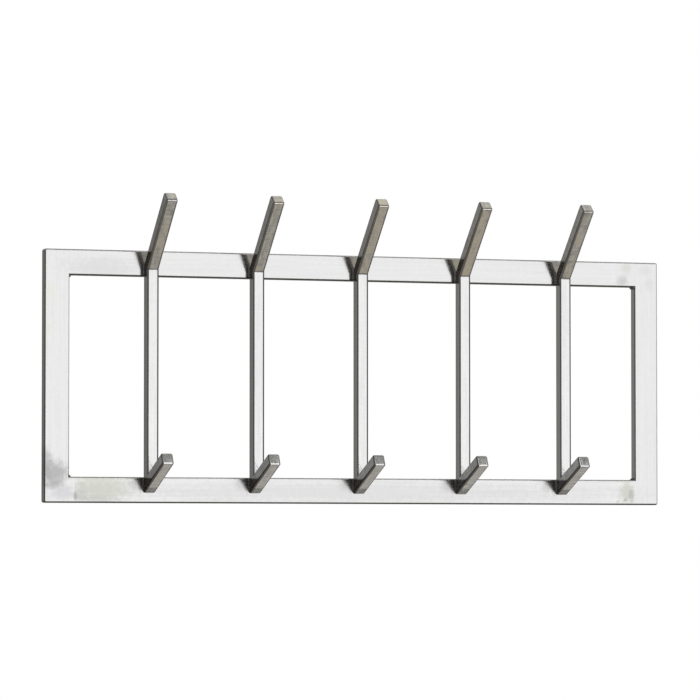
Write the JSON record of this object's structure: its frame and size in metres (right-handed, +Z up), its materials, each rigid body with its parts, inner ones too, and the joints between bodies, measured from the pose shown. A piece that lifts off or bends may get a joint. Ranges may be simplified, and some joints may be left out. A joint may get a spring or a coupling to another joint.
{
  "type": "wall coat rack",
  "caption": "Wall coat rack: a flat brushed steel frame hung on hidden keyholes, with a row of double hooks in mitred square bar, each with a long upper and a short lower arm.",
  "frame": {"origin": "on the wall plane, midway between the entry holes of the two keyholes in the top rail's back", "axes": "+X along the rack to the viewer's right, +Y from the rack into the wall, +Z up"},
  "size_m": [0.64, 0.0803, 0.2942],
  "materials": {
    "frame_steel": "brushed",
    "hook_steel": "brushed"
  },
  "bodies": {
    "root": {"top_rail": "frame_steel", "bottom_rail": "frame_steel", "left_stile": "frame_steel", "right_stile": "frame_steel", "hook_1_upright": "hook_steel", "hook_1_upper_arm": "hook_steel", "hook_1_lower_arm": "hook_steel", "hook_2_upright": "hook_steel", "hook_2_upper_arm": "hook_steel", "hook_2_lower_arm": "hook_steel", "hook_3_upright": "hook_steel", "hook_3_upper_arm": "hook_steel", "hook_3_lower_arm": "hook_steel", "hook_4_upright": "hook_steel", "hook_4_upper_arm": "hook_steel", "hook_4_lower_arm": "hook_steel", "hook_5_upright": "hook_steel", "hook_5_upper_arm": "hook_steel", "hook_5_lower_arm": "hook_steel"}
  },
  "joints": []
}
